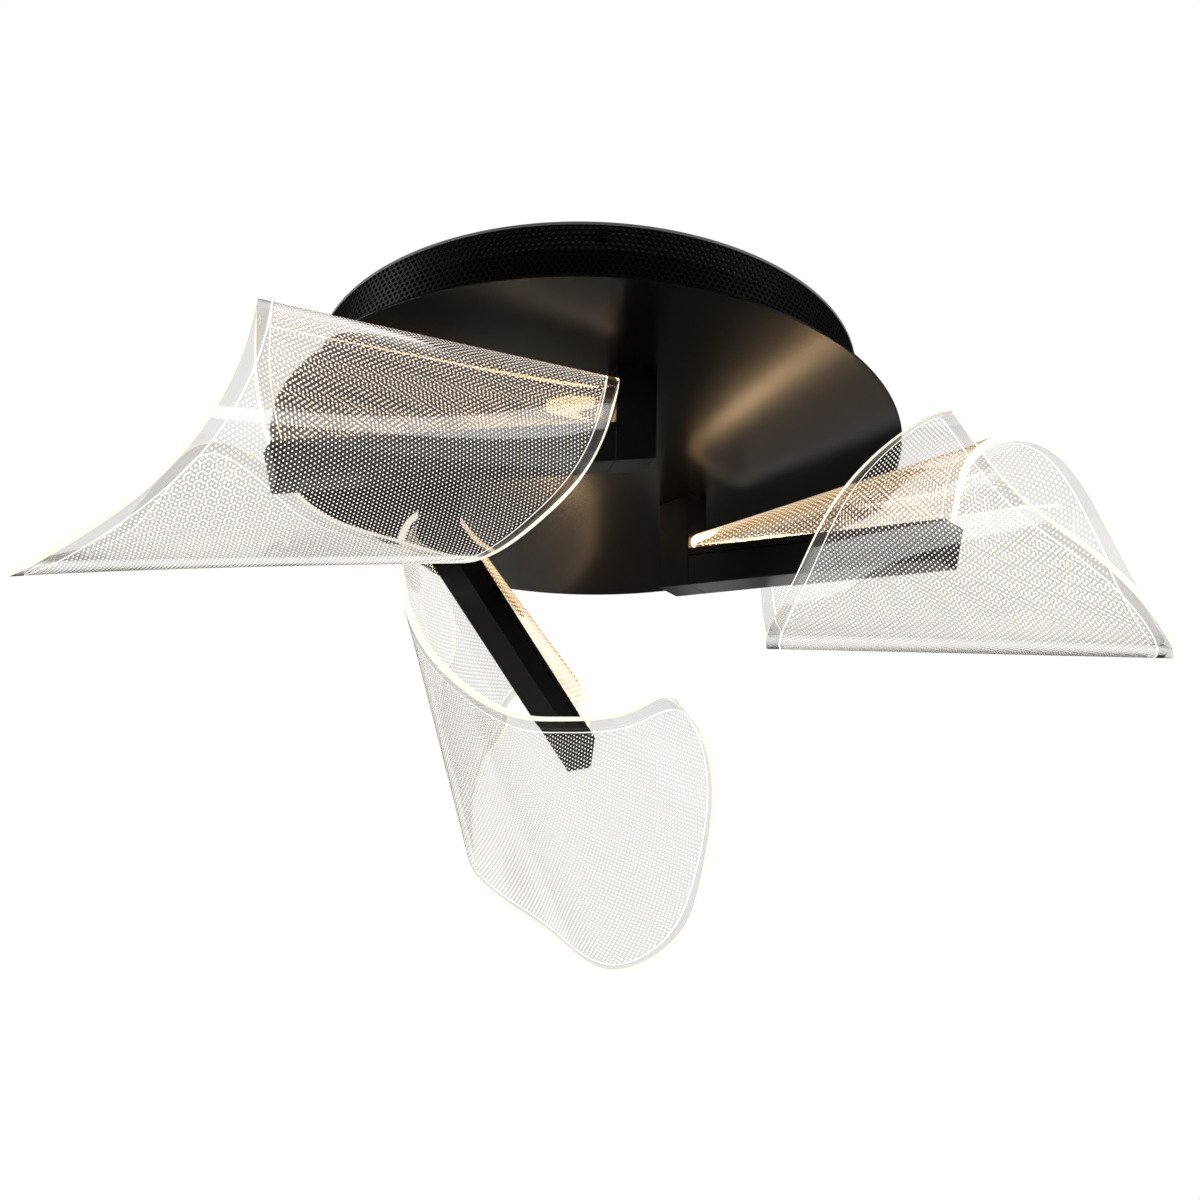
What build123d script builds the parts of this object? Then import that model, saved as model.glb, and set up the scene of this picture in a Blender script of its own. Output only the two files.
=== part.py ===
"""LED flush mount light with three curled, edge-lit acrylic petals.

Millimetres, +Z up. The origin is on the ceiling, at the centre of the canopy, and the
light hangs below it. Seen from the front, which is -Y, arm 1 reaches left, arm 2
right and arm 3 back.
"""
import os
from math import cos, radians, sin, sqrt

from build123d import *

os.makedirs("parts", exist_ok=True)

# Canopy
disc_diameter = 400.0
disc_thickness = 2.0
band_diameter = 343.0
band_height = 55.0
band_wall = 1.0

# Mounting plate: a steel pan inside the top of the band
plate_wall = 1.5
plate_flange_depth = 18.0
plate_clearance = 0.3
box_screw_spacing_wide = 88.9
box_screw_spacing_narrow = 69.8
box_screw_hole = 4.8
supply_hole = 22.0

# Screws that hold the band to the plate
canopy_screw_count = 3
canopy_screw_azimuth = -87.4
canopy_screw_drop = 10.0
canopy_screw_diameter = 4.0
canopy_screw_length = 8.0
canopy_screw_head_diameter = 8.0
canopy_screw_head_height = 2.6
weld_nut_size = 8.0
weld_nut_thickness = 3.2
thread_clearance = 0.1
sheet_hole_clearance = 0.5
contact_gap = 0.1

# Angle ring that joins the face disc to the band
ring_leg = 12.0
ring_wall = 1.5
ring_rivet_count = 6
ring_rivet_diameter = 4.0
ring_rivet_head_diameter = 7.0
ring_rivet_head_height = 1.2

# Driver, terminal block and ground screw under the plate
driver_length = 128.0
driver_width = 42.0
driver_height = 27.0
driver_lug = 9.0
driver_lug_thickness = 2.0
driver_corner_radius = 3.0
driver_chamfer = 1.0
driver_offset_x = -24.0
driver_offset_y = 84.0
driver_screw_diameter = 4.0
driver_screw_head_diameter = 7.5
driver_screw_head_height = 2.4
terminal_length = 30.0
terminal_width = 17.0
terminal_height = 15.0
terminal_offset_x = -42.0
terminal_offset_y = -34.0
terminal_poles = 3
terminal_bore = 4.0
ground_screw_offset_x = 38.0
ground_screw_offset_y = -34.0
ground_screw_diameter = 4.0
ground_screw_head_diameter = 9.0
ground_screw_head_height = 3.0

# Posts: rectangular tubes on a circle under the disc
post_depth = 26.0
post_width = 17.0
post_wall = 1.5
post_circle_radius = 94.7
post_drop = 60.0
plug_height = 12.0
plug_clearance = 0.1

# Hollow threaded stud that clamps each post to the disc
stud_diameter = 10.0
stud_bore = 6.0
stud_above_disc = 11.0
stud_in_plug = 10.0
washer_diameter = 20.0
washer_thickness = 1.5
nut_size = 14.0
nut_thickness = 5.0

# Arm bars: extruded channels that slope down and out from the posts
arm_length = 239.5
arm_slope = 15.0
arm_height = 25.7
retainer_height = 5.3
bar_wall = 1.5
bar_web_level = 9.0
bar_web_thickness = 1.5
seam_groove = 0.6
retainer_spigot = 1.5
end_cap_plug = 6.0
end_cap_thickness = 2.0
end_cap_chamfer = 1.0
window_margin = 2.0

# Light engine on the web of each bar
board_width = 10.0
board_thickness = 1.6
board_tail = 5.0
led_length = 3.5
led_width = 2.8
led_height = 0.8
led_pitch = 9.0
led_gap = 1.0

# Acrylic petals
petal_thickness = 5.0
slot_clearance = 0.2
slot_end_gap = 3.5
petal_stations = 17
petal_corner_radius = 7.5
petal_corner_limit = 0.57
root_lag = 0.55

# Pinch screws of the retainers
pinch_screw_diameter = 2.5
pinch_screw_inset = 14.0

# Leads from the driver to the boards, and from the driver to the terminal block
lead_diameter = 3.0
lead_bend = 9.0
lead_entry_drop = 11.0
input_lead_diameter = 2.6
input_lead_depth = 6.0

# Routes of the three leads, from the driver's end almost to each post: distance from the
# driver's end, and side and height from the canopy's axis and the ceiling
lead_routes = [
    [(0, 80, -22), (14, 80, -22), (20, 52, -25), (15, -2, -27), (4, -55, -29)],
    [(0, 93, -18), (14, 93, -18)],
    [(0, 70, -12), (16, 70, -12), (12, 49, -12), (-52, 44, -14), (-104, 38, -20)],
]

# Routes of the two input leads, from the driver's other end almost to the terminal block:
# distance from the driver's end, and side from the canopy's axis
input_routes = [
    [(0, 84), (-20, 84), (-29, 44), (-4, -4), (36, -13)],
    [(0, 72), (-14, 72), (-20, 44), (2, 6), (46, -6)],
]

# Arms: azimuth of the post, heading of the bar, and turn of the petal's curl about its
# slot, at the slot and added on the way to the free corner, in degrees. The bars are
# clamped and the petals bent by hand, so no two arms are alike.
arms = [
    (287.2, 198.4, 1.1, -4.7),
    (47.2, 315.1, -20.7, 35.3),
    (167.2, 65.0, -10.6, -1.1),
]

# Free edge of a petal at the arm's tip, from the slot to the free corner, in thousandths of
# the slot's length: distance past the slot's end, distance to the curl's side and height
# over the bar's top
tip_edge = [
    (0, 0, 0),
    (15, 52, 177),
    (58, 311, 268),
    (178, 470, 47),
    (389, 485, -241),
    (600, 256, -337),
    (751, 121, -369),
    (740, -81, -287),
    (514, -267, -155),
    (116, -263, 167),
]

# Free edge of a petal at the post, in the same order and measured from the slot's start
root_edge = [
    (0, 0, 0),
    (-4, -9, 10),
    (-1, 135, 69),
    (96, 174, -105),
    (291, 52, -291),
    (477, -113, -322),
    (611, -170, -235),
    (804, -267, -59),
    (1054, -257, 172),
]

# Directions in which a petal's two edges leave the slot and end at the free corner
slot_way = (0, 0, 1)
tip_end_way = (-71, 60, 36)
root_end_way = (98, 4, 22)

# Levels that follow from the sizes above
disc_top = -band_height
disc_bottom = disc_top - disc_thickness
plate_radius = band_diameter / 2 - band_wall - plate_clearance
band_inner_radius = band_diameter / 2 - band_wall
bar_height = arm_height - retainer_height
bar_inner_width = post_width - 2 * bar_wall
board_level = bar_web_level + bar_web_thickness
led_level = board_level + board_thickness
petal_foot_level = led_level + led_height + led_gap
slot_width = petal_thickness + 2 * slot_clearance


def save(part, name):
    """Label one finished piece and write it to its own file."""
    part.label = name
    export_step(part, f"parts/{name}.step")
    return part


def level(height):
    """Horizontal plane at a height."""
    return Plane.XY.offset(height)


# Face disc: the round plate that shows from below
post_spots = [
    (post_circle_radius * cos(radians(azimuth)), post_circle_radius * sin(radians(azimuth)))
    for azimuth, heading, turn, opening in arms
]
with BuildPart() as face_disc:
    with BuildSketch(level(disc_bottom)):
        Circle(disc_diameter / 2)
        with Locations(*post_spots):
            Circle((stud_diameter + sheet_hole_clearance) / 2, mode=Mode.SUBTRACT)
        with PolarLocations(band_inner_radius - ring_leg / 2, ring_rivet_count):
            Circle((ring_rivet_diameter + thread_clearance) / 2, mode=Mode.SUBTRACT)
    extrude(amount=disc_thickness)
    outer_edges = face_disc.edges().filter_by(GeomType.CIRCLE).sort_by(SortBy.RADIUS)[-2:]
    chamfer(outer_edges, disc_thickness / 4)
save(face_disc.part, "face_disc")

# Perforated band: the cylinder behind the disc. Its punched holes are finer than this
# model's detail, and it is drawn as a plain shell with its screw holes.
screw_angles = [
    canopy_screw_azimuth + 360 / canopy_screw_count * index for index in range(canopy_screw_count)
]


def radial_plane(azimuth, radius, height):
    """Plane that faces outwards from the canopy's axis."""
    direction = Vector(cos(radians(azimuth)), sin(radians(azimuth)), 0)
    return Plane(origin=direction * radius + Vector(0, 0, height), z_dir=direction, x_dir=(0, 0, 1))


with BuildPart() as perforated_band:
    with BuildSketch(level(disc_top)):
        Circle(band_diameter / 2)
        Circle(band_inner_radius, mode=Mode.SUBTRACT)
    extrude(amount=band_height)
    for azimuth in screw_angles:
        with BuildSketch(radial_plane(azimuth, band_diameter / 2, -canopy_screw_drop)):
            Circle((canopy_screw_diameter + sheet_hole_clearance) / 2)
        extrude(amount=2 * band_wall, both=True, mode=Mode.SUBTRACT)
save(perforated_band.part, "perforated_band")

# Angle ring inside the foot of the band, riveted to the disc
with BuildPart() as angle_ring:
    with BuildSketch(level(disc_top)):
        Circle(band_inner_radius)
        Circle(band_inner_radius - ring_leg, mode=Mode.SUBTRACT)
        with PolarLocations(band_inner_radius - ring_leg / 2, ring_rivet_count):
            Circle((ring_rivet_diameter + thread_clearance) / 2, mode=Mode.SUBTRACT)
    extrude(amount=ring_wall)
    with BuildSketch(level(disc_top + ring_wall)):
        Circle(band_inner_radius)
        Circle(band_inner_radius - ring_wall, mode=Mode.SUBTRACT)
    extrude(amount=ring_leg - ring_wall)
save(angle_ring.part, "angle_ring")

# Rivets of the ring: flush with the disc's face, headed inside
with BuildPart() as ring_rivets:
    with BuildSketch(level(disc_bottom)):
        with PolarLocations(band_inner_radius - ring_leg / 2, ring_rivet_count):
            Circle(ring_rivet_diameter / 2)
    extrude(amount=disc_thickness + ring_wall)
    with BuildSketch(level(disc_top + ring_wall)):
        with PolarLocations(band_inner_radius - ring_leg / 2, ring_rivet_count):
            Circle(ring_rivet_head_diameter / 2)
    extrude(amount=ring_rivet_head_height)
save(ring_rivets.part, "ring_rivets")

# Mounting plate: a pan with its flange down, screwed to the ceiling's junction box
driver_spot = (driver_offset_x, driver_offset_y)
driver_lug_reach = driver_length / 2 + driver_lug / 2
driver_screw_spots = [
    (driver_offset_x - driver_lug_reach, driver_offset_y),
    (driver_offset_x + driver_lug_reach, driver_offset_y),
]
terminal_spot = (terminal_offset_x, terminal_offset_y)
ground_spot = (ground_screw_offset_x, ground_screw_offset_y)
with BuildPart() as mounting_plate:
    with BuildSketch(level(-plate_flange_depth)):
        Circle(plate_radius)
    extrude(amount=plate_flange_depth)
    with BuildSketch(level(-plate_flange_depth)):
        Circle(plate_radius - plate_wall)
    extrude(amount=plate_flange_depth - plate_wall, mode=Mode.SUBTRACT)
    with BuildSketch(level(-plate_wall)):
        Circle(supply_hole / 2)
        with GridLocations(box_screw_spacing_wide, 0, 2, 1):
            Circle(box_screw_hole / 2)
        with GridLocations(0, box_screw_spacing_narrow, 1, 2):
            Circle(box_screw_hole / 2)
        with Locations(*driver_screw_spots):
            Circle((driver_screw_diameter + thread_clearance) / 2)
        with Locations(ground_spot):
            Circle((ground_screw_diameter + thread_clearance) / 2)
    extrude(amount=plate_wall, mode=Mode.SUBTRACT)
    for azimuth in screw_angles:
        with BuildSketch(radial_plane(azimuth, plate_radius, -canopy_screw_drop)):
            Circle((canopy_screw_diameter + sheet_hole_clearance) / 2)
        extrude(amount=2 * plate_wall, both=True, mode=Mode.SUBTRACT)
save(mounting_plate.part, "mounting_plate")

# Weld nuts inside the plate's flange
flange_inner_radius = plate_radius - plate_wall
nut_seat_radius = sqrt(flange_inner_radius**2 - (weld_nut_size / 2) ** 2) - contact_gap
with BuildPart() as weld_nuts:
    for azimuth in screw_angles:
        with BuildSketch(radial_plane(azimuth, nut_seat_radius, -canopy_screw_drop)):
            Rectangle(weld_nut_size, weld_nut_size)
            Circle((canopy_screw_diameter + thread_clearance) / 2, mode=Mode.SUBTRACT)
        extrude(amount=-weld_nut_thickness)
save(weld_nuts.part, "weld_nuts")

# Canopy screws: cross-recessed pan heads on the outside of the band
screw_seat_radius = band_diameter / 2 + contact_gap
with BuildPart() as canopy_screws:
    for azimuth in screw_angles:
        seat = radial_plane(azimuth, screw_seat_radius, -canopy_screw_drop)
        with BuildSketch(seat):
            Circle(canopy_screw_head_diameter / 2)
        extrude(amount=canopy_screw_head_height, taper=12)
        with BuildSketch(seat):
            Circle(canopy_screw_diameter / 2)
        extrude(amount=-canopy_screw_length)
        with BuildSketch(seat.offset(canopy_screw_head_height)):
            Rectangle(canopy_screw_head_diameter / 2, canopy_screw_head_diameter / 10)
            Rectangle(canopy_screw_head_diameter / 10, canopy_screw_head_diameter / 2)
        extrude(amount=-canopy_screw_head_height / 2, mode=Mode.SUBTRACT)
save(canopy_screws.part, "canopy_screws")

# Driver: a closed case with two lugs, screwed up against the plate
driver_top = -plate_wall
with BuildPart() as driver_case:
    with BuildSketch(level(driver_top)):
        with Locations(driver_spot):
            Rectangle(driver_length, driver_width)
    extrude(amount=-driver_height)
    fillet(driver_case.edges().filter_by(Axis.Z), driver_corner_radius)
    chamfer(driver_case.faces().sort_by(Axis.Z)[0].edges(), driver_chamfer)
    with BuildSketch(level(driver_top)):
        with Locations(driver_spot):
            SlotOverall(driver_length + 2 * driver_lug, 2 * driver_lug)
        with Locations(*driver_screw_spots):
            Circle((driver_screw_diameter + sheet_hole_clearance) / 2, mode=Mode.SUBTRACT)
    extrude(amount=-driver_lug_thickness)
save(driver_case.part, "led_driver")

# Screws through the driver's lugs into the plate
with BuildPart() as driver_screws:
    with BuildSketch(level(driver_top - driver_lug_thickness)):
        with Locations(*driver_screw_spots):
            Circle(driver_screw_head_diameter / 2)
    extrude(amount=-driver_screw_head_height, taper=15)
    with BuildSketch(level(driver_top - driver_lug_thickness)):
        with Locations(*driver_screw_spots):
            Circle(driver_screw_diameter / 2)
    extrude(amount=driver_lug_thickness + plate_wall)
save(driver_screws.part, "driver_screws")

# Terminal block for the supply, with a bore for each conductor
with BuildPart() as terminal_block:
    with BuildSketch(level(-plate_wall)):
        with Locations(terminal_spot):
            Rectangle(terminal_length, terminal_width)
    extrude(amount=-terminal_height)
    terminal_face = Plane(
        origin=(terminal_offset_x, terminal_offset_y, -plate_wall - terminal_height / 2),
        z_dir=(0, 1, 0),
        x_dir=(1, 0, 0),
    )
    with BuildSketch(terminal_face):
        with GridLocations(terminal_length / terminal_poles, 0, terminal_poles, 1):
            Circle(terminal_bore / 2)
    extrude(amount=terminal_width, both=True, mode=Mode.SUBTRACT)
save(terminal_block.part, "terminal_block")

# Ground screw in the plate
with BuildPart() as ground_screw:
    with BuildSketch(level(-plate_wall)):
        with Locations(ground_spot):
            RegularPolygon(ground_screw_head_diameter / 2, 6)
    extrude(amount=-ground_screw_head_height)
    with BuildSketch(level(-plate_wall)):
        with Locations(ground_spot):
            Circle(ground_screw_diameter / 2)
    extrude(amount=plate_wall)
save(ground_screw.part, "ground_screw")

# Washers and nuts that clamp the posts' studs inside the canopy
stud_radius = stud_diameter / 2
with BuildPart() as stud_washers:
    with BuildSketch(level(disc_top)):
        with Locations(*post_spots):
            Circle(washer_diameter / 2)
            Circle((stud_diameter + sheet_hole_clearance) / 2, mode=Mode.SUBTRACT)
    extrude(amount=washer_thickness)
save(stud_washers.part, "stud_washers")

with BuildPart() as stud_nuts:
    with BuildSketch(level(disc_top + washer_thickness)):
        with Locations(*post_spots):
            RegularPolygon(nut_size / 2, 6, major_radius=False)
            Circle((stud_diameter + thread_clearance) / 2, mode=Mode.SUBTRACT)
    extrude(amount=nut_thickness)
save(stud_nuts.part, "stud_nuts")


def arm_frames(azimuth, heading):
    """Planes of one arm.

    The bar's frame starts at the foot of the post's outer face: X runs down the bar, Y
    to the side that the petal curls to, and Z up, square to the bar.
    """
    along = Vector(cos(radians(heading)), sin(radians(heading)), 0)
    side = Vector(-along.Y, along.X, 0)
    down = radians(arm_slope)
    axis = along * cos(down) - Vector(0, 0, sin(down))
    spot = Vector(
        post_circle_radius * cos(radians(azimuth)), post_circle_radius * sin(radians(azimuth)), 0
    )
    foot = spot - along * (post_depth / 2) + Vector(0, 0, disc_bottom - post_drop)
    return {
        "post": Plane(origin=spot + Vector(0, 0, disc_bottom), x_dir=along, z_dir=(0, 0, 1)),
        "bar": Plane(origin=foot, x_dir=axis, z_dir=axis.cross(side)),
        "section": Plane(origin=foot, x_dir=side, z_dir=axis),
        "flank": Plane(origin=foot - side * (post_width / 2), x_dir=axis, z_dir=-side),
        "post_face": Plane(origin=foot + along * post_depth, x_dir=side, z_dir=along),
        "spot": spot,
        "along": along,
    }


def on_post_face(height):
    """Distance down the bar at which a height over its foot meets the post's face."""
    return (post_depth - height * sin(radians(arm_slope))) / cos(radians(arm_slope))


slot_start = on_post_face(arm_height) + slot_end_gap
slot_end = arm_length - end_cap_thickness - slot_clearance


def petal_edge(frame, origin, points, end_way, turn, opening):
    """Free edge of a petal as a spline, with its curl turned about the slot."""
    scale = (slot_end - slot_start) / 1000
    spots = []
    for index, (along, side, height) in enumerate(points):
        angle = radians(turn + opening * index / (len(points) - 1))
        spots.append(
            Vector(
                origin + along * scale,
                (side * cos(angle) + height * sin(angle)) * scale,
                arm_height + (height * cos(angle) - side * sin(angle)) * scale,
            )
        )
    ways = [frame.from_local_coords(Vector(*way)) - frame.origin for way in (slot_way, end_way)]
    with BuildLine() as edge_line:
        Spline(
            *[frame.from_local_coords(spot) for spot in spots],
            tangents=ways,
            tangent_scalars=(1, 1),
        )
    return edge_line.edges()[0]


def petal_rails(tip, root):
    """The sheet's four long edges: lower and upper at the root edge and at the tip edge.

    At each station along the curl, one straight line of the sheet joins the two free
    edges, and the sheet's thickness is set square to it. The root edge lags behind in the
    tight start of its curl.
    """
    corners = {"root_low": [], "tip_low": [], "tip_high": [], "root_high": []}
    for index in range(petal_stations):
        share = index / (petal_stations - 1)
        root_share = share - root_lag * share * (1 - share) ** 2
        root_point, tip_point = root.position_at(root_share), tip.position_at(share)
        line = (tip_point - root_point).normalized()
        onward = tip.tangent_at(share) + root.tangent_at(root_share)
        half = line.cross(onward).normalized() * (petal_thickness / 2)
        corners["root_low"].append(root_point - half)
        corners["tip_low"].append(tip_point - half)
        corners["tip_high"].append(tip_point + half)
        corners["root_high"].append(root_point + half)
    rails = []
    for name, points in corners.items():
        guide = root if name.startswith("root") else tip
        with BuildLine() as rail:
            Spline(
                *points,
                tangents=(guide.tangent_at(0), guide.tangent_at(1)),
                tangent_scalars=(1, 1),
            )
        rails.append(rail.edges()[0])
    return rails


def sheet_solid(rails):
    """Solid between four rails: a ruled face between each two, and a flat one at each end."""
    faces = [
        Face.make_surface_from_curves(rail, following)
        for rail, following in zip(rails, rails[1:] + rails[:1])
    ]
    for share in (0, 1):
        faces.append(Face(Wire.make_polygon([rail.position_at(share) for rail in rails])))
    return Solid(Shell(faces))


def lead(points, diameter, bend):
    """Round lead along straight runs joined by tangent arcs."""
    with BuildLine() as route:
        FilletPolyline(*points, radius=bend)
    with BuildPart() as wire:
        with BuildSketch(Plane(origin=points[0], z_dir=points[1] - points[0])):
            Circle(diameter / 2)
        sweep(path=route.wires()[0])
    return wire.part


pinch_screws = []
pinch_screw_level = bar_height + (retainer_height + seam_groove) / 2
pinch_screw_length = (post_width - petal_thickness) / 2
pinch_screw_spots = [
    (slot_start + pinch_screw_inset, pinch_screw_level),
    (slot_end - pinch_screw_inset, pinch_screw_level),
]
for number, (azimuth, heading, turn, opening) in enumerate(arms, start=1):
    frames = arm_frames(azimuth, heading)
    bar_frame = frames["bar"]
    section = frames["section"]
    slope = radians(arm_slope)

    # Post: a tube with a closed, sloping foot and a window into the bar's channel
    with BuildPart() as post:
        with BuildSketch(bar_frame):
            with Locations((post_depth / 2 / cos(slope), 0)):
                Rectangle(post_depth / cos(slope), post_width)
        extrude(amount=2 * post_drop, dir=(0, 0, 1))
        split(bisect_by=level(disc_bottom), keep=Keep.BOTTOM)
        with BuildSketch(bar_frame.offset(post_wall)):
            with Locations(((post_depth / 2 - post_wall * sin(slope)) / cos(slope), 0)):
                Rectangle((post_depth - 2 * post_wall) / cos(slope), post_width - 2 * post_wall)
        extrude(amount=2 * post_drop, dir=(0, 0, 1), mode=Mode.SUBTRACT)
        window_start = on_post_face(0) - post_depth / 2
        with BuildSketch(section.offset(window_start)):
            with Locations((0, (bar_wall + bar_height) / 2)):
                Rectangle(bar_inner_width - window_margin, bar_height - bar_wall - window_margin)
        extrude(amount=post_depth, mode=Mode.SUBTRACT)
    save(post.part, f"post_{number}")

    # Plug in the top of the post, which the stud screws into
    with BuildPart() as post_plug:
        with BuildSketch(frames["post"]):
            Rectangle(
                post_depth - 2 * post_wall - 2 * plug_clearance,
                post_width - 2 * post_wall - 2 * plug_clearance,
            )
            Circle((stud_diameter + thread_clearance) / 2, mode=Mode.SUBTRACT)
        extrude(amount=-plug_height)
    save(post_plug.part, f"post_plug_{number}")

    # Hollow stud through the disc
    with BuildPart() as stud:
        with BuildSketch(frames["post"].offset(-stud_in_plug)):
            Circle(stud_diameter / 2)
            Circle(stud_bore / 2, mode=Mode.SUBTRACT)
        extrude(amount=stud_in_plug + disc_thickness + stud_above_disc)
        chamfer(stud.edges().sort_by(Axis.Z)[-2:], stud_bore / 12)
    save(stud.part, f"stud_{number}")

    # Bar: an H-section channel, cut on the slant where it meets the post
    with BuildPart() as bar:
        with BuildSketch(section):
            with Locations((0, bar_height / 2)):
                Rectangle(post_width, bar_height)
            with Locations((0, (bar_wall + bar_web_level) / 2)):
                Rectangle(bar_inner_width, bar_web_level - bar_wall, mode=Mode.SUBTRACT)
            with Locations((0, (board_level + bar_height) / 2)):
                Rectangle(bar_inner_width, bar_height - board_level, mode=Mode.SUBTRACT)
        extrude(amount=arm_length - end_cap_thickness)
        split(bisect_by=frames["post_face"], keep=Keep.TOP)
    save(bar.part, f"bar_{number}")

    # Retainer: the slotted strip that grips the acrylic and closes the channel
    with BuildPart() as retainer:
        with BuildSketch(section):
            with Locations((0, (bar_height + seam_groove + arm_height) / 2)):
                Rectangle(post_width, retainer_height - seam_groove)
            with Locations((0, bar_height)):
                Rectangle(bar_inner_width - 2 * plug_clearance, 2 * retainer_spigot)
        extrude(amount=arm_length - end_cap_thickness)
        split(bisect_by=frames["post_face"], keep=Keep.TOP)
        with BuildSketch(section.offset(slot_start - slot_clearance)):
            with Locations((0, arm_height / 2)):
                Rectangle(slot_width, arm_height)
        extrude(amount=arm_length, mode=Mode.SUBTRACT)
        with BuildSketch(frames["flank"]):
            with Locations(*pinch_screw_spots):
                Circle((pinch_screw_diameter + thread_clearance) / 2)
        extrude(amount=-post_width / 2, mode=Mode.SUBTRACT)
    save(retainer.part, f"retainer_{number}")

    # Screws that pinch the acrylic in its slot
    with BuildSketch(frames["flank"]) as pinch_outline:
        with Locations(*pinch_screw_spots):
            Circle(pinch_screw_diameter / 2)
    pinch_screws.append(extrude(pinch_outline.sketch, amount=-pinch_screw_length))

    # End cap: a plate over the bar's end with a plug in its lower channel
    with BuildPart() as end_cap:
        with BuildSketch(section.offset(arm_length - end_cap_thickness)):
            with Locations((0, arm_height / 2)):
                Rectangle(post_width, arm_height)
        extrude(amount=end_cap_thickness)
        chamfer(end_cap.faces().sort_by(Axis(section.origin, section.z_dir))[-1].edges(), end_cap_chamfer)
        with BuildSketch(section.offset(arm_length - end_cap_thickness)):
            with Locations((0, (bar_wall + bar_web_level) / 2)):
                Rectangle(
                    bar_inner_width - 2 * plug_clearance,
                    bar_web_level - bar_wall - 2 * plug_clearance,
                )
        extrude(amount=-end_cap_plug)
    save(end_cap.part, f"end_cap_{number}")

    # Light board on the web, with its tail in the post
    board_start = on_post_face(board_level + board_thickness / 2) - board_tail
    board_end = arm_length - end_cap_thickness - slot_clearance
    with BuildPart() as led_board:
        with BuildSketch(bar_frame.offset(board_level)):
            with Locations(((board_start + board_end) / 2, 0)):
                Rectangle(board_end - board_start, board_width)
        extrude(amount=board_thickness)
    save(led_board.part, f"led_board_{number}")

    # Light-emitting packages in a row under the acrylic's edge
    with BuildPart() as leds:
        with BuildSketch(bar_frame.offset(led_level)):
            with Locations(((slot_start + slot_end) / 2, 0)):
                with GridLocations(led_pitch, 0, int((slot_end - slot_start) // led_pitch), 1):
                    Rectangle(led_length, led_width)
        extrude(amount=led_height)
    save(leds.part, f"leds_{number}")

    # Petal: a sheet ruled along its curl, over a straight foot in the slot
    tip = petal_edge(bar_frame, slot_end, tip_edge, tip_end_way, turn, opening)
    root = petal_edge(bar_frame, slot_start, root_edge, root_end_way, turn, opening)
    free_end = (tip.position_at(1) + root.position_at(1)) / 2
    free_width = (tip.position_at(1) - root.position_at(1)).length
    corner_radius = min(petal_corner_radius, free_width * petal_corner_limit)
    with BuildPart() as petal:
        add(sheet_solid(petal_rails(tip, root)))
        thickness_edges = petal.edges().sort_by(Edge.length)[:4]
        fillet(thickness_edges.sort_by_distance(free_end)[:2], corner_radius)
        with BuildSketch(bar_frame.offset(petal_foot_level)):
            with Locations(((slot_start + slot_end) / 2, 0)):
                Rectangle(slot_end - slot_start, petal_thickness)
        extrude(amount=arm_height - petal_foot_level)
    save(petal.part, f"petal_{number}")

# One piece for the six pinch screws
with BuildPart() as pinch_screw_set:
    for screws in pinch_screws:
        add(screws)
save(pinch_screw_set.part, "pinch_screws")

# Leads: from the driver, over each post, down its stud's bore and out to the board's tail
driver_end = driver_offset_x + driver_length / 2
entry_level = disc_top + stud_above_disc + lead_entry_drop
for number, (azimuth, heading, turn, opening) in enumerate(arms, start=1):
    frames = arm_frames(azimuth, heading)
    spot = frames["spot"]
    board_middle = board_level + board_thickness / 2
    corner = on_post_face(board_middle) - post_depth / 2 / cos(radians(arm_slope))
    tail = on_post_face(board_middle) - board_tail
    points = [Vector(driver_end + along, side, height) for along, side, height in lead_routes[number - 1]]
    points += [
        spot + Vector(0, 0, entry_level),
        frames["bar"].from_local_coords(Vector(corner, 0, board_middle)),
        frames["bar"].from_local_coords(Vector(tail, 0, board_middle)),
    ]
    save(lead(points, lead_diameter, lead_bend), f"lead_{number}")

# Input leads, which end in the terminal block's bores
input_end = driver_offset_x - driver_length / 2
input_level = -plate_wall - terminal_height / 2
terminal_side = terminal_offset_y + terminal_width / 2
with BuildPart() as input_leads:
    for index, route in enumerate(input_routes):
        bore_x = terminal_offset_x + (index - 1) * terminal_length / terminal_poles
        points = [Vector(input_end + along, side, input_level) for along, side in route]
        points.append(Vector(bore_x, terminal_side - input_lead_depth, input_level))
        add(lead(points, input_lead_diameter, lead_bend))
save(input_leads.part, "input_leads")
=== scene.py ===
"""Looks of the LED flush mount light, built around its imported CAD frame.

The scene is in metres, in the frame of the CAD: +Z up, the origin on the ceiling. The sizes
of the object are in millimetres, as in the part's source, and MM turns them into metres.
The CAD's own nodes keep their shapes and get materials. The petals, the perforated band and
copies of the arms and the face disc with softer corners are built here.
"""
from math import cos, pi, radians, sin

import bmesh
import bpy
import numpy as np
from mathutils import Matrix, Vector


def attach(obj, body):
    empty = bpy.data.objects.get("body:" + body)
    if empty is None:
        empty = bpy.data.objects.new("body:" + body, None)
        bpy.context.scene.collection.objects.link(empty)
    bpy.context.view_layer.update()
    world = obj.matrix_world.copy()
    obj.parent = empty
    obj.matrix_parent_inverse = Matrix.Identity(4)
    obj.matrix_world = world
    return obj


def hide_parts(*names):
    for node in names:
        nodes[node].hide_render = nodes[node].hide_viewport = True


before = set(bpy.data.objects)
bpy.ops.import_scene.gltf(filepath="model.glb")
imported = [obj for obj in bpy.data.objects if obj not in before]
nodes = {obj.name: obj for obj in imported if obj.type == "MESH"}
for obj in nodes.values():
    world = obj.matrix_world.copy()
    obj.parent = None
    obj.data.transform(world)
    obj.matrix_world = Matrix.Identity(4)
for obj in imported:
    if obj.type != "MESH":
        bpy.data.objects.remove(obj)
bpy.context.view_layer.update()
scene = bpy.context.scene
MM = 0.001
BODY = "root"

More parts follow.
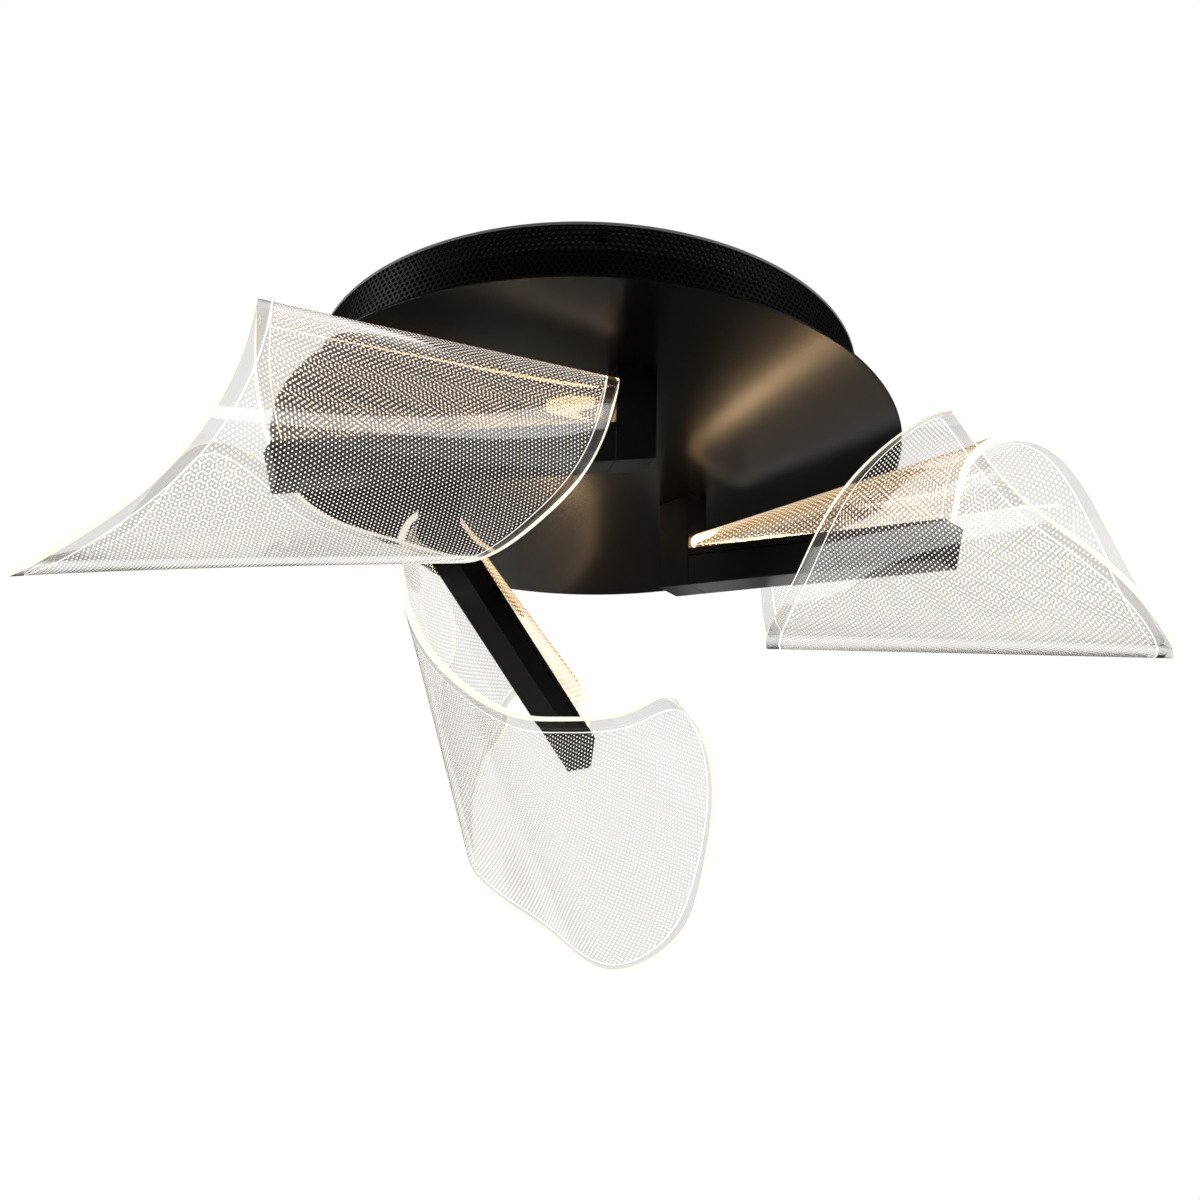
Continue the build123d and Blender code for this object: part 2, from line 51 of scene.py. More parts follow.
# Arms: number, azimuth of the post, heading of the bar, turn and opening of the curl, in degrees
ARMS = (
    (1, 287.2, 198.4, 1.1, -4.7),
    (2, 47.2, 315.1, -20.7, 35.3),
    (3, 167.2, 65.0, -10.6, -1.1),
)
POST_CIRCLE = 94.7
POST_DEPTH = 26.0
POST_FOOT = -117.0
ARM_SLOPE = 15.0
ARM_HEIGHT = 25.7

# Petals: the slot that holds each sheet, and the sheet's two edges from the slot to the free
# end, as points along the bar, to the curl's side and up, in thousandths of the slot's length
SLOT_START = 23.53
SLOT_END = 237.3
PETAL_THICKNESS = 5.0
PETAL_FOOT_DEPTH = 11.8
ROOT_LAG = 0.55
FREE_CORNER_RADIUS = 12.0
EDGE_BREAK = 0.5
TIP_EDGE = (
    (0, 0, 0), (15, 52, 177), (58, 311, 268), (178, 470, 47), (389, 485, -241),
    (600, 256, -337), (751, 121, -369), (740, -81, -287), (514, -267, -155), (116, -263, 167),
)
ROOT_EDGE = (
    (0, 0, 0), (-4, -9, 10), (-1, 135, 69), (96, 174, -105), (291, 52, -291),
    (477, -113, -322), (611, -170, -235), (804, -267, -59), (1054, -257, 172),
)
SLOT_WAY = (0, 0, 1)
TIP_END_WAY = (-71, 60, 36)
ROOT_END_WAY = (98, 4, 22)

# Mesh of a petal: its rows lie closer together towards the free end
SHEET_ROWS = 220
SHEET_COLUMNS = 44
FOOT_ROWS = 3
ROW_CROWDING = 1.3
CURVE_SAMPLES = 4000
FAR_INSET = 1000.0
ENGRAVED_FACE, CUT_EDGE, BARE_FACE = 0, 1, 2

# Engraving, in metres on the flat sheet, apart from the dots' radius, a share of their pitch
DOT_PITCH = 0.0030
DOT_RADIUS = 0.205
DOT_SOFTNESS = 0.03
LATTICE_STRETCH = 3 ** 0.5
DOT_FIELD_INSET = (0.0098, 0.0102)
BORDER_LINE_INSET = 0.0085
BORDER_LINE_HALF_WIDTH = (0.0003, 0.0005)

# Acrylic and its light, which is golden near the slot, within a distance in metres
ACRYLIC_IOR = 1.49
SHEET_TINT = (0.83, 0.812, 0.795)
SHEET_ROUGHNESS = 0.03
MARK_ROUGHNESS = 0.5
EDGE_TINT = (0.86, 0.85, 0.82)
EDGE_ROUGHNESS = 0.35
GOLD_REACH = 0.07
WARM_REACH = 0.11
GRAZE_BLEND = 0.3
BARE_FACE_STRENGTH = 0.5
BARE_GLOW = (0.006, 0.005, 0.0045, 1)
GOLD_GLOW = (0.62, 0.36, 0.15, 1)
MARK_GLOW = (1.0, 0.95, 0.89, 1)
WARM_MARK_GLOW = (1.0, 0.78, 0.50, 1)
EDGE_GLOW = (0.97, 0.93, 0.81, 1)
GOLD_EDGE_GLOW = (6.0, 3.6, 1.7, 1)

# Light that leaks from each slot, on both sides of the sheet
LEAK_LENGTH = 200.0
LEAK_WIDTH = 3.0
LEAK_LIFT = 2.0
LEAK_OFFSET = 5.5
LEAK_POWER = 0.07
LEAK_COLOR = (1.0, 0.66, 0.36)

# Broken corners of the metal
ARM_EDGE_BREAK = 0.35
DISC_EDGE_BREAK = 0.15
FLAT_ANGLE = radians(1)
SHARP_ANGLE = radians(40)
SAME_POINT = 1e-6

# Perforated band: round holes in staggered rows
BAND_RADIUS = 171.5
BAND_HEIGHT = 55.0
BAND_WALL = 1.0
HOLE_DIAMETER = 2.75
HOLE_SIDES = 12
HOLES_PER_ROW = 268
HOLE_ROWS = 15
UPPER_ROWS = 8
HOLE_ROW_SPACING = 3.5
PLAIN_STRIP = 2.0
CORNERS_PER_CELL = 4
WELD_DISTANCE = 0.00002

# Powder coat: scales of its grain and of its clouds of dust and wear
GRAIN_SCALE = 900.0
GRAIN_DETAIL = 3.0
GRAIN_DEPTH = 0.0002
CLOUD_SCALE = 14.0
CLOUD_DETAIL = 5.0
GLOSS_VARIATION = 0.06
DUST_CLOUDS = (0.55, 0.8)
DUST_MOST = 0.35
DUST_COLOR = (0.02, 0.018, 0.017, 1)

# Camera, at the photograph's viewing angle
SENSOR = 36.0
FOCAL_PIXELS = 3477.0
PHOTO_SIDE = 1200.0
CAMERA_CLIP = 100
CAMERA_DISTANCE = 2.2
CAMERA_ELEVATION = radians(30.02)
CAMERA_PITCH = radians(27.53)
CAMERA_YAW = radians(-0.34)
CAMERA_ROLL = radians(1.10)
DISC_LEVEL = -57 * MM

# World seen directly and through the acrylic, and world seen in reflections, between the
# lower and the upper end of its fade
WHITE_LEVEL = 1.0
REFLECTED_LOW = 0.45
REFLECTED_HIGH = 0.03
FADE_ENDS = (-0.7, 0.25)

# Studio lights: name, direction from the object, distance, side and other side in metres, watts
LIGHT_AIM = Vector((0, 0, -0.12))
STUDIO_LIGHTS = (
    ("RightStrip", (0.92, -0.36, 0.16), 2.0, 0.9, 0.55, 5),
    ("LeftSpot", (-0.935, -0.08, 0.35), 2.0, 0.24, 0.24, 2),
    ("LeftHaze", (-0.935, -0.08, 0.35), 2.05, 0.6, 0.6, 3),
    ("LeftSoftbox", (-0.93, 0.12, -0.35), 2.0, 0.6, 0.6, 3),
)
FLOOR_LEVEL = -2.6
FLOOR_REACH = 7.0
FLOOR_COLOR = (0.86, 0.85, 0.84)
FLOOR_ROUGHNESS = 0.6


def link(obj):
    """Put an object in the scene's collection."""
    scene.collection.objects.link(obj)
    return obj


def tree_input(tree, name, kind, value):
    """Add a named input with its value to a node tree's interface."""
    socket = tree.interface.new_socket(name, in_out="INPUT", socket_type=kind)
    socket.default_value = value


def node(tree, kind, **values):
    """New shader node; values set its properties, or its inputs by name."""
    new = tree.nodes.new(kind)
    for key, value in values.items():
        if hasattr(new, key):
            setattr(new, key, value)
        else:
            new.inputs[key.replace("_", " ")].default_value = value
    return new


def feed(tree, socket, value):
    """Link another socket to an input, or set the input to a plain value."""
    if isinstance(value, bpy.types.NodeSocket):
        tree.links.new(value, socket)
    else:
        socket.default_value = value


def math_node(tree, operation, *values):
    """Result of a math node on values, each a socket or a number."""
    new = node(tree, "ShaderNodeMath", operation=operation)
    for socket, value in zip(new.inputs, values):
        feed(tree, socket, value)
    return new.outputs[0]


def vector_node(tree, operation, *values):
    """Result of a vector math node on values, each a socket or a vector."""
    new = node(tree, "ShaderNodeVectorMath", operation=operation)
    for socket, value in zip(new.inputs, values):
        feed(tree, socket, value)
    return new.outputs["Value" if operation == "LENGTH" else "Vector"]


def color_mix(tree, factor, first, second):
    """Colour between two, each a socket or a colour."""
    new = node(tree, "ShaderNodeMix", data_type="RGBA")
    for name, value in (("Factor", factor), ("A", first), ("B", second)):
        feed(tree, new.inputs[name], value)
    return new.outputs["Result"]


def ramp(tree, value, ends, results=(0.0, 1.0), kind="LINEAR"):
    """Value that goes between two results while the given one goes between its ends."""
    new = node(tree, "ShaderNodeMapRange", interpolation_type=kind)
    for name, number in zip(("From Min", "From Max", "To Min", "To Max"), (*ends, *results)):
        new.inputs[name].default_value = number
    tree.links.new(value, new.inputs["Value"])
    return new.outputs[0]


def principled(name, color, roughness, **inputs):
    """New material with its node tree and its Principled shader."""
    material = bpy.data.materials.new(name)
    material.use_nodes = True
    tree = material.node_tree
    shader = tree.nodes["Principled BSDF"]
    shader.inputs["Base Color"].default_value = (*color, 1)
    shader.inputs["Roughness"].default_value = roughness
    for key, value in inputs.items():
        shader.inputs[key.replace("_", " ")].default_value = value
    return material, tree, shader


def coat_texture():
    """Group: fine texture of a powder coat, with faint dust and wear in its roughness."""
    tree = bpy.data.node_groups.new("CoatTexture", "ShaderNodeTree")
    tree_input(tree, "Grain Scale", "NodeSocketFloat", GRAIN_SCALE)
    tree_input(tree, "Roughness", "NodeSocketFloat", 0.4)
    tree_input(tree, "Variation", "NodeSocketFloat", GLOSS_VARIATION)
    tree_input(tree, "Bump", "NodeSocketFloat", 0.05)
    tree_input(tree, "Color", "NodeSocketColor", (0.01, 0.01, 0.01, 1))
    for name, kind in (("Color", "Color"), ("Roughness", "Float"), ("Normal", "Vector")):
        tree.interface.new_socket(name, in_out="OUTPUT", socket_type="NodeSocket" + kind)
    entry = tree.nodes.new("NodeGroupInput").outputs
    leave = tree.nodes.new("NodeGroupOutput").inputs
    place = tree.nodes.new("ShaderNodeTexCoord")
    grain = node(tree, "ShaderNodeTexNoise", Detail=GRAIN_DETAIL)
    cloud = node(tree, "ShaderNodeTexNoise", Scale=CLOUD_SCALE, Detail=CLOUD_DETAIL)
    tree.links.new(place.outputs["Object"], grain.inputs["Vector"])
    tree.links.new(place.outputs["Object"], cloud.inputs["Vector"])
    tree.links.new(entry["Grain Scale"], grain.inputs["Scale"])
    clouds = cloud.outputs["Fac"]
    swing = math_node(tree, "SUBTRACT", clouds, 0.5)
    rough = math_node(tree, "MULTIPLY_ADD", swing, entry["Variation"], entry["Roughness"])
    tree.links.new(rough, leave["Roughness"])
    dust = ramp(tree, clouds, DUST_CLOUDS, (0.0, DUST_MOST))
    tree.links.new(color_mix(tree, dust, entry["Color"], DUST_COLOR), leave["Color"])
    bump = node(tree, "ShaderNodeBump", Distance=GRAIN_DEPTH)
    tree.links.new(entry["Bump"], bump.inputs["Strength"])
    tree.links.new(grain.outputs["Fac"], bump.inputs["Height"])
    tree.links.new(bump.outputs["Normal"], leave["Normal"])
    return tree


def coated(name, group, color, roughness, bump=0.05, **inputs):
    """Material whose colour, roughness and normal come from the coat texture."""
    material, tree, shader = principled(name, color, roughness, **inputs)
    coat = tree.nodes.new("ShaderNodeGroup")
    coat.node_tree = group
    for key, value in (("Color", (*color, 1)), ("Roughness", roughness), ("Bump", bump)):
        coat.inputs[key].default_value = value
    for key in ("Base Color", "Roughness", "Normal"):
        tree.links.new(coat.outputs[key.removeprefix("Base ")], shader.inputs[key])
    return material


def engraved_dots():
    """Group: mask of round dots on a staggered lattice over the sheet's own UV map."""
    tree = bpy.data.node_groups.new("EngravedDots", "ShaderNodeTree")
    tree_input(tree, "Pitch", "NodeSocketFloat", DOT_PITCH)
    tree_input(tree, "Radius", "NodeSocketFloat", DOT_RADIUS)
    tree.interface.new_socket("Mask", in_out="OUTPUT", socket_type="NodeSocketFloat")
    entry = tree.nodes.new("NodeGroupInput").outputs
    leave = tree.nodes.new("NodeGroupOutput").inputs
    sheet = node(tree, "ShaderNodeUVMap", uv_map="sheet")
    pitch = node(tree, "ShaderNodeCombineXYZ", Z=1)
    tree.links.new(math_node(tree, "MULTIPLY", entry["Pitch"], LATTICE_STRETCH), pitch.inputs["X"])
    tree.links.new(entry["Pitch"], pitch.inputs["Y"])
    cells = vector_node(tree, "DIVIDE", sheet.outputs["UV"], pitch.outputs[0])
    stretch = (LATTICE_STRETCH, 1, 0)
    centre = (-LATTICE_STRETCH / 2, -0.5, 0)
    gaps = []
    for shift in (0.0, 0.5):
        part = vector_node(tree, "FRACTION", vector_node(tree, "ADD", cells, (shift, shift, 0)))
        middle = vector_node(tree, "MULTIPLY_ADD", part, stretch, centre)
        gaps.append(vector_node(tree, "LENGTH", middle))
    inside = math_node(tree, "SUBTRACT", entry["Radius"], math_node(tree, "MINIMUM", *gaps))
    mask = ramp(tree, inside, (-DOT_SOFTNESS, DOT_SOFTNESS), kind="SMOOTHSTEP")
    tree.links.new(mask, leave["Mask"])
    return tree


def slot_nearness(tree, reach):
    """Value that falls from one at the slot to zero at a distance along the curl."""
    curl = node(tree, "ShaderNodeAttribute", attribute_name="curl")
    return ramp(tree, curl.outputs["Fac"], (0.0, reach), (1.0, 0.0), "SMOOTHERSTEP")


def clear_glow(tree):
    """Light of the sheet's bare parts: golden along its surface beside the slot."""
    facing = node(tree, "ShaderNodeLayerWeight", Blend=GRAZE_BLEND)
    graze = math_node(tree, "MULTIPLY", slot_nearness(tree, GOLD_REACH), facing.outputs["Facing"])
    return color_mix(tree, graze, BARE_GLOW, GOLD_GLOW)


def clear_material():
    """The sheet's bare face."""
    material, tree, shader = principled(
        "ClearAcrylic", SHEET_TINT, SHEET_ROUGHNESS, IOR=ACRYLIC_IOR, Transmission_Weight=1.0,
        Emission_Strength=BARE_FACE_STRENGTH,
    )
    tree.links.new(clear_glow(tree), shader.inputs["Emission Color"])
    return material


def acrylic_material(dots):
    """The sheet's engraved face: dots and a border line that take the light of the slot."""
    material, tree, shader = principled(
        "EngravedAcrylic", SHEET_TINT, SHEET_ROUGHNESS, IOR=ACRYLIC_IOR, Transmission_Weight=1.0,
        Emission_Strength=1.0,
    )
    pattern = tree.nodes.new("ShaderNodeGroup")
    pattern.node_tree = dots
    inset = node(tree, "ShaderNodeAttribute", attribute_name="inset").outputs["Fac"]
    dotted = math_node(tree, "MULTIPLY", pattern.outputs["Mask"], ramp(tree, inset, DOT_FIELD_INSET))
    distance = math_node(tree, "ABSOLUTE", math_node(tree, "SUBTRACT", inset, BORDER_LINE_INSET))
    line = ramp(tree, distance, BORDER_LINE_HALF_WIDTH, (1.0, 0.0))
    marks = math_node(tree, "MAXIMUM", dotted, line)
    light = color_mix(tree, slot_nearness(tree, WARM_REACH), MARK_GLOW, WARM_MARK_GLOW)
    glow = color_mix(tree, marks, clear_glow(tree), light)
    tree.links.new(glow, shader.inputs["Emission Color"])
    rough = ramp(tree, marks, (0.0, 1.0), (SHEET_ROUGHNESS, MARK_ROUGHNESS))
    tree.links.new(rough, shader.inputs["Roughness"])
    return material


def edge_material():
    """Cut edge of the sheet, which the light leaves by, brightest beside the slot."""
    material, tree, shader = principled(
        "LitAcrylicEdge", EDGE_TINT, EDGE_ROUGHNESS, IOR=ACRYLIC_IOR, Emission_Strength=1.0
    )
    glow = color_mix(tree, slot_nearness(tree, GOLD_REACH), EDGE_GLOW, GOLD_EDGE_GLOW)
    tree.links.new(glow, shader.inputs["Emission Color"])
    return material


def travelled(points):
    """Distance from the first point to each, along the line through them."""
    return np.r_[0, np.cumsum(np.linalg.norm(np.diff(points, axis=0), axis=1))]


def clamped_spline(points, start_way, end_way):
    """Cubic spline through points, by chord length, with given end directions.

    Returns its points, its knots and its slope at each.
    """
    spots = np.array(points, float)
    knots = travelled(spots)
    gaps = np.diff(knots)
    count = len(spots)
    matrix = np.zeros((count, count))
    right = np.zeros((count, 3))
    matrix[0, 0] = matrix[-1, -1] = 1
    right[0] = np.array(start_way, float) / np.linalg.norm(start_way)
    right[-1] = np.array(end_way, float) / np.linalg.norm(end_way)
    for i in range(1, count - 1):
        before, after = gaps[i - 1], gaps[i]
        matrix[i, i - 1] = after
        matrix[i, i] = 2 * (before + after)
        matrix[i, i + 1] = before
        right[i] = 3 * (
            after * (spots[i] - spots[i - 1]) / before + before * (spots[i + 1] - spots[i]) / after
        )
    return spots, knots, np.linalg.solve(matrix, right)


def spline_at(spline, shares):
    """Points and unit tangents of a spline at shares of its length."""
    spots, knots, slopes = spline

    def hermite(at):
        piece = np.clip(np.searchsorted(knots, at, side="right") - 1, 0, len(knots) - 2)
        gap = knots[piece + 1] - knots[piece]
        t = ((at - knots[piece]) / gap)[:, None]
        gap = gap[:, None]
        a, b = spots[piece], spots[piece + 1]
        da, db = slopes[piece] * gap, slopes[piece + 1] * gap
        point = (
            (2 * t**3 - 3 * t**2 + 1) * a + (t**3 - 2 * t**2 + t) * da
            + (3 * t**2 - 2 * t**3) * b + (t**3 - t**2) * db
        )
        way = (6 * t**2 - 6 * t) * (a - b) + (3 * t**2 - 4 * t + 1) * da + (3 * t**2 - 2 * t) * db
        return point, way / np.linalg.norm(way, axis=1)[:, None]

    fine = np.linspace(0, knots[-1], CURVE_SAMPLES)
    points, _ = hermite(fine)
    run = travelled(points)
    return hermite(np.interp(np.asarray(shares) * run[-1], run, fine))


def bar_frame(azimuth, heading):
    """Origin and axes of a bar's frame, in millimetres: along, to the curl's side, up."""
    along = np.array((cos(radians(heading)), sin(radians(heading)), 0))
    side = np.array((-along[1], along[0], 0))
    slope = radians(ARM_SLOPE)
    axis = along * cos(slope) - np.array((0, 0, sin(slope)))
    spot = POST_CIRCLE * np.array((cos(radians(azimuth)), sin(radians(azimuth)), 0))
    origin = spot - along * POST_DEPTH / 2 + np.array((0, 0, POST_FOOT))
    return origin, axis, side, np.cross(axis, side)


def edge_spots(points, start, turn, opening):
    """Points of a petal's edge in its bar's frame, with the curl turned about the slot."""
    scale = (SLOT_END - SLOT_START) / 1000
    spots = []
    for index, (s, n, t) in enumerate(points):
        angle = radians(turn + opening * index / (len(points) - 1))
        spots.append((
            start + s * scale,
            (n * cos(angle) + t * sin(angle)) * scale,
            ARM_HEIGHT + (t * cos(angle) - n * sin(angle)) * scale,
        ))
    return spots


def half_widths(travel, length):
    """Half the width of each row, less where the free corners are rounded."""
    left = travel[-1] - travel
    slant = np.gradient(length, travel)[-1] / -2
    radius = FREE_CORNER_RADIUS
    flare = np.arctan(slant)
    centre = length[-1] / 2 + radius * slant - radius / cos(flare)
    reach = radius * (1 - sin(flare))
    drawn_in = centre + np.sqrt(np.maximum(radius**2 - (radius - left) ** 2, 0))
    return np.minimum(np.where(left < reach, drawn_in, length / 2), length / 2)


def sheet_rows(turn, opening):
    """Rows of points halfway through the sheet, in its bar's frame, foot first.

    Each row comes with its normal, its distance along the curl and half its width.
    """
    tip = clamped_spline(edge_spots(TIP_EDGE, SLOT_END, turn, opening), SLOT_WAY, TIP_END_WAY)
    root = clamped_spline(edge_spots(ROOT_EDGE, SLOT_START, turn, opening), SLOT_WAY, ROOT_END_WAY)
    shares = 1 - (1 - np.linspace(0, 1, SHEET_ROWS)) ** ROW_CROWDING
    root_shares = shares - ROOT_LAG * shares * (1 - shares) ** 2
    tip_points, tip_ways = spline_at(tip, shares)
    root_points, root_ways = spline_at(root, root_shares)
    line = tip_points - root_points
    length = np.linalg.norm(line, axis=1)
    line /= length[:, None]
    normal = np.cross(line, tip_ways + root_ways)
    normal /= np.linalg.norm(normal, axis=1)[:, None]
    middle = (tip_points + root_points) / 2
    travel = travelled(middle)
    halves = half_widths(travel, length)

    foot = np.array(((SLOT_START, 0, ARM_HEIGHT), (SLOT_END, 0, ARM_HEIGHT)))
    across = np.linspace(-1, 1, SHEET_COLUMNS)
    rows, normals, curls, widths = [], [], [], []
    for drop in np.linspace(-PETAL_FOOT_DEPTH, 0, FOOT_ROWS + 1)[:-1]:
        rows.append(foot.mean(0) + np.array((0, 0, drop)) + np.outer(across, (foot[1] - foot[0]) / 2))
        normals.append(normal[0])
        curls.append(drop)
        widths.append((SLOT_END - SLOT_START) / 2)
    for i in range(SHEET_ROWS):
        rows.append(middle[i] + np.outer(across * halves[i], line[i]))
        normals.append(normal[i])
        curls.append(travel[i])
        widths.append(halves[i])
    return np.array(rows), np.array(normals), np.array(curls), np.array(widths)


def sheet_faces(row_count):
    """Quads of a sheet with two layers of points, and the finish of each quad."""
    columns = SHEET_COLUMNS
    step = row_count * columns

    def at(layer, row, column):
        return layer * step + row * columns + column

    quads, finishes_of_quads = [], []
    for row in range(row_count - 1):
        for column in range(columns - 1):
            a, b = at(0, row, column), at(0, row, column + 1)
            c, d = at(0, row + 1, column + 1), at(0, row + 1, column)
            quads.append((a, b, c, d))
            quads.append((a + step, d + step, c + step, b + step))
            finishes_of_quads += [ENGRAVED_FACE, BARE_FACE]
        for column, flip in ((0, False), (columns - 1, True)):
            a, b = at(0, row, column), at(0, row + 1, column)
            c, d = at(1, row + 1, column), at(1, row, column)
            quads.append((d, c, b, a) if flip else (a, b, c, d))
            finishes_of_quads.append(CUT_EDGE)
    for column in range(columns - 1):
        for row, flip, finish in ((0, True, ENGRAVED_FACE), (row_count - 1, False, CUT_EDGE)):
            a, b = at(0, row, column), at(0, row, column + 1)
            c, d = at(1, row, column + 1), at(1, row, column)
            quads.append((d, c, b, a) if flip else (a, b, c, d))
            finishes_of_quads.append(finish)
    return quads, finishes_of_quads


def mark_distances(mesh, rows, curls, widths):
    """Store distances on the flat sheet, which the engraving and the glow follow."""
    across = np.linspace(-1, 1, SHEET_COLUMNS)
    flat = np.zeros((*rows.shape[:2], 2))
    flat[..., 0] = np.outer(widths, across) + ((rows[:, 0, 0] + rows[:, -1, 0]) / 2)[:, None]
    flat[..., 1] = curls[:, None]
    outline = np.concatenate([flat[FOOT_ROWS:, 0], flat[-1, :], flat[FOOT_ROWS:, -1]])
    gap = np.full(rows.shape[:2], FAR_INSET)
    for point in outline:
        gap = np.minimum(gap, np.linalg.norm(flat - point, axis=2))
    flat *= MM
    uv = mesh.uv_layers.new(name="sheet")
    loop_points = np.zeros(len(mesh.loops), int)
    mesh.loops.foreach_get("vertex_index", loop_points)
    both = np.concatenate([flat.reshape(-1, 2)] * 2)
    uv.data.foreach_set("uv", both[loop_points].ravel())
    for name, values in (("inset", gap.ravel() * MM), ("curl", flat[..., 1].ravel())):
        mark = mesh.attributes.new(name, "FLOAT", "POINT")
        mark.data.foreach_set("value", np.concatenate([values] * 2))


def seams(form):
    """Edges where two finishes of a sheet meet."""
    return [
        edge for edge in form.edges
        if len(edge.link_faces) == 2
        and edge.link_faces[0].material_index != edge.link_faces[1].material_index
    ]


def soften_seams(mesh):
    """Break the sharp seams between a sheet's faces and its cut edge, and shade them apart."""
    form = bmesh.new()
    form.from_mesh(mesh)
    bmesh.ops.bevel(
        form, geom=seams(form), offset=EDGE_BREAK * MM, segments=1, affect="EDGES",
        material=CUT_EDGE, clamp_overlap=True,
    )
    for edge in seams(form):
        edge.smooth = False
    form.to_mesh(mesh)
    form.free()


def petal(number, azimuth, heading, turn, opening, *materials):
    """Curled acrylic sheet with its foot in the slot, as quads that follow its curl."""
    origin, axis, side, up = bar_frame(azimuth, heading)
    rows, normals, curls, widths = sheet_rows(turn, opening)
    shift = normals[:, None, :] * PETAL_THICKNESS / 2
    layers = np.concatenate([rows + shift, rows - shift])
    points = (origin + layers[..., :1] * axis + layers[..., 1:2] * side + layers[..., 2:3] * up) * MM
    quads, finishes_of_quads = sheet_faces(len(rows))
    mesh = bpy.data.meshes.new(f"PetalSheet{number}")
    mesh.from_pydata([tuple(point) for point in points.reshape(-1, 3)], [], quads)
    for material in materials:
        mesh.materials.append(material)
    mesh.polygons.foreach_set("material_index", finishes_of_quads)
    mesh.polygons.foreach_set("use_smooth", [finish != CUT_EDGE for finish in finishes_of_quads])
    mark_distances(mesh, rows, curls, widths)
    soften_seams(mesh)
    sheet = link(bpy.data.objects.new(f"petal_sheet_{number}", mesh))
    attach(sheet, BODY)
    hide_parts(f"petal_{number}")


def slot_glow(number, azimuth, heading):
    """Warm light that leaks from a slot, on both sides of the sheet."""
    origin, axis, side, up = bar_frame(azimuth, heading)
    for way in (-1, 1):
        data = bpy.data.lights.new(f"SlotGlow{number}", "AREA")
        data.shape = "RECTANGLE"
        data.size = LEAK_LENGTH * MM
        data.size_y = LEAK_WIDTH * MM
        data.energy = LEAK_POWER
        data.color = LEAK_COLOR
        lamp = link(bpy.data.objects.new(f"SlotGlow{number}", data))
        spot = origin + axis * (SLOT_START + SLOT_END) / 2 + up * (ARM_HEIGHT + LEAK_LIFT)
        spot = spot + side * way * LEAK_OFFSET
        lamp.matrix_world = Matrix.Translation(Vector(spot * MM)) @ Matrix(
            [[axis[i], side[i] * -1, up[i] * -1] for i in range(3)]
        ).to_4x4()
        lamp.visible_camera = False
        lamp.visible_transmission = False


def band_cell(name, width, height):
    """Flat brick of the perforated sheet, open at its borders, with one hole through it."""
    radius = HOLE_DIAMETER / 2 * MM
    wall = BAND_WALL * MM
    rim = [
        (radius * cos(2 * pi * index / HOLE_SIDES), radius * sin(2 * pi * index / HOLE_SIDES))
        for index in range(HOLE_SIDES)
    ]
    x, z = width / 2, height / 2
    border = [
        (x, 0), (x, z), (x / 2, z), (0, z), (-x / 2, z), (-x, z),
        (-x, 0), (-x, -z), (-x / 2, -z), (0, -z), (x / 2, -z), (x, -z),
    ]
    verts = [(px, depth, pz) for depth in (0, -wall) for px, pz in rim + border]
    layer = 2 * HOLE_SIDES
    faces = []
    for index in range(HOLE_SIDES):
        following = (index + 1) % HOLE_SIDES
        front = (index, following, HOLE_SIDES + following, HOLE_SIDES + index)
        faces.append(front)
        faces.append(tuple(corner + layer for corner in reversed(front)))
        faces.append((following, index, layer + index, layer + following))
    mesh = bpy.data.meshes.new(name)
    mesh.from_pydata(verts, [], faces)
    return mesh


